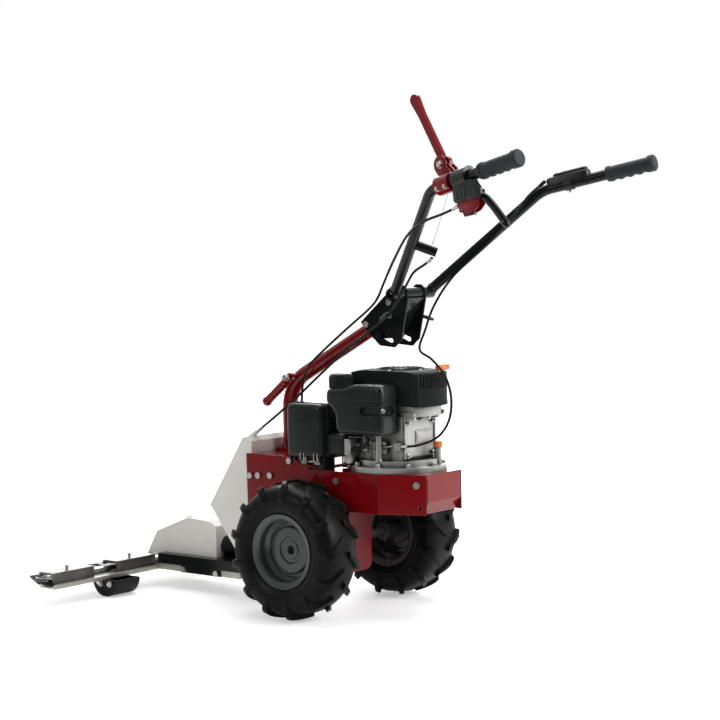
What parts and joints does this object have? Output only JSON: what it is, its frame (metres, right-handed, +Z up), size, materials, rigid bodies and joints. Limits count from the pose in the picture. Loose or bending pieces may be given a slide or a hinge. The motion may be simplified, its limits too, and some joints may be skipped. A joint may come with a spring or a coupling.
{
  "type": "sickle bar mower",
  "caption": "Walk-behind sickle bar mower with two lugged drive wheels, petrol engine, front cutter bar and a tilting handlebar with control levers",
  "frame": {"origin": "on the ground under the middle of the axle", "axes": "+X forward towards the cutter bar, +Y to the operator's left, +Z up"},
  "size_m": [1.4341, 0.87, 1.2262],
  "materials": {
    "red_paint": "gloss powder coat",
    "black_paint": "satin powder coat",
    "ivory_paint": "gloss powder coat",
    "plated_steel": "zinc plated",
    "galvanised": "pale plated",
    "cast_alloy": "as cast",
    "grey_iron": "forged or cast, bare",
    "exhaust_steel": "heat-resistant grey",
    "rim_paint": "satin grey",
    "tyre_rubber": "matte moulded",
    "belt_rubber": "matte",
    "black_plastic": "moulded, satin",
    "orange_plastic": "moulded, gloss"
  },
  "bodies": {
    "chassis": {"engine_deck": "red_paint", "side_plate_left": "red_paint", "side_plate_right": "red_paint", "top_plate": "red_paint", "front_cover": "ivory_paint", "gearbox_housing": "red_paint", "column": "red_paint", "bracket_plates": "black_paint", "chassis_bolts": "plated_steel", "engine_sump": "cast_alloy", "crankcase": "cast_alloy", "muffler": "exhaust_steel", "carburettor": "cast_alloy", "air_filter_box": "black_plastic", "fuel_tank": "black_plastic", "cooling_shroud": "black_plastic", "drive_belt": "belt_rubber", "knife_drive_case": "ivory_paint", "bar_carrier": "black_paint", "carrier_bars": "galvanised", "finger_bar": "galvanised", "fingers": "grey_iron", "hold_downs": "plated_steel", "bar_screws": "plated_steel", "skids": "black_paint", "clutch_cable": "belt_rubber", "drive_cable": "belt_rubber", "throttle_cable": "belt_rubber"},
    "wheels": {"axle": "plated_steel", "rim_left": "rim_paint", "rim_right": "rim_paint", "tyre_left": "tyre_rubber", "tyre_right": "tyre_rubber"},
    "crank": {"crankshaft": "plated_steel", "flywheel": "grey_iron", "drive_pulley": "grey_iron"},
    "input": {"input_shaft": "plated_steel"},
    "idler": {"idler_arm": "plated_steel"},
    "pto": {"pto_shaft": "plated_steel"},
    "rocker": {"knife_rocker": "plated_steel"},
    "knife_slide": {"knife": "plated_steel"},
    "handlebar": {"handle_hinge": "black_paint", "handle_tube_left": "black_paint", "handle_tube_right": "black_paint", "grip_left": "belt_rubber", "grip_right": "belt_rubber", "cable_stop": "black_paint", "throttle_housing": "black_plastic", "lever_bracket": "red_paint", "lever_clamp": "black_plastic", "lever_casing": "red_paint", "lever_wire": "plated_steel"},
    "long_lever": {"blade_lever": "red_paint"},
    "squeeze_lever": {"drive_lever": "black_paint"},
    "catch": {"safety_catch": "black_plastic"},
    "thumb_lever": {"throttle_lever": "black_plastic"},
    "gear_lever": {"shift_lever": "red_paint"},
    "cap": {"fuel_cap": "black_plastic"},
    "dipstick": {"oil_dipstick": "orange_plastic"},
    "pull_handle": {"starter_handle": "orange_plastic"}
  },
  "joints": [
    {"name": "wheel_axle", "type": "hinge", "parent": "chassis", "child": "wheels", "pos_m": [0, 0, 0.166], "axis": [0, 1, 0], "continuous": true},
    {"name": "handlebar_tilt", "type": "hinge", "parent": "chassis", "child": "handlebar", "pos_m": [-0.208, 0, 0.772], "axis": [0, 1, 0], "range_deg": [0, 18], "deforming": ["clutch_cable", "drive_cable", "throttle_cable"]},
    {"name": "long_lever_pull", "type": "hinge", "parent": "handlebar", "child": "long_lever", "pos_m": [-0.45815, 0.19484, 1.06526], "axis": [-0.209, -0.9779, 0], "range_deg": [0, 75], "deforming": ["lever_wire"]},
    {"name": "squeeze_lever_pull", "type": "hinge", "parent": "handlebar", "child": "squeeze_lever", "pos_m": [-0.5917, 0.25407, 0.99708], "axis": [0.209, 0.9779, 0], "range_deg": [0, 45], "stiffness_Nm_per_rad": 0.4},
    {"name": "catch_release", "type": "hinge", "parent": "handlebar", "child": "catch", "pos_m": [-0.54521, 0.24413, 0.96058], "axis": [-0.209, -0.9779, 0], "range_deg": [0, 15], "stiffness_Nm_per_rad": 0.05, "springref_deg": -20.05},
    {"name": "throttle_sweep", "type": "hinge", "parent": "handlebar", "child": "thumb_lever", "pos_m": [-0.48177, -0.23057, 1.04611], "axis": [0.2001, 0.0428, 0.9788], "range_deg": [0, 50]},
    {"name": "gear_shift", "type": "hinge", "parent": "chassis", "child": "gear_lever", "pos_m": [0.1457, 0.034, 0.5629], "axis": [0, 1, 0], "range_deg": [-20, 20]},
    {"name": "crank_spin", "type": "hinge", "parent": "chassis", "child": "crank", "pos_m": [-0.164, 0, 0.4], "axis": [0, 0, 1], "continuous": true},
    {"name": "input_spin", "type": "hinge", "parent": "chassis", "child": "input", "pos_m": [0.104, 0, 0.27], "axis": [0, 0, 1], "continuous": true},
    {"name": "pto_spin", "type": "hinge", "parent": "chassis", "child": "pto", "pos_m": [0.3, 0, 0.113], "axis": [1, 0, 0], "continuous": true},
    {"name": "idler_swing", "type": "hinge", "parent": "chassis", "child": "idler", "pos_m": [0.03, 0.076, 0.27], "axis": [0, 0, 1], "range_deg": [0, 5.5]},
    {"name": "knife_travel", "type": "slide", "parent": "chassis", "child": "knife_slide", "axis": [0, 1, 0], "range_m": [-0.025, 0.025]},
    {"name": "rocker_swing", "type": "hinge", "parent": "chassis", "child": "rocker", "pos_m": [0.509, 0, 0.158], "axis": [1, 0, 0], "range_deg": [-17.8, 17.8]},
    {"name": "cap_turn", "type": "hinge", "parent": "chassis", "child": "cap", "pos_m": [-0.068, 0.0976, 0.564], "axis": [0, 0, 1], "continuous": true},
    {"name": "dipstick_pull", "type": "slide", "parent": "chassis", "child": "dipstick", "axis": [0, 0, 1], "range_m": [0, 0.024]},
    {"name": "starter_pull", "type": "slide", "parent": "chassis", "child": "pull_handle", "axis": [0, 0, 1], "range_m": [0, 0.06], "stiffness_N_per_m": 20}
  ],
  "couplings": [
    {"joint": "input_spin", "follows": "crank_spin", "ratio": 1},
    {"joint": "pto_spin", "follows": "crank_spin", "ratio": 0.5},
    {"joint": "idler_swing", "follows": "long_lever_pull", "ratio": 0.07},
    {"joint": "rocker_swing", "follows": "knife_travel", "rad_per_m": 12.376}
  ]
}
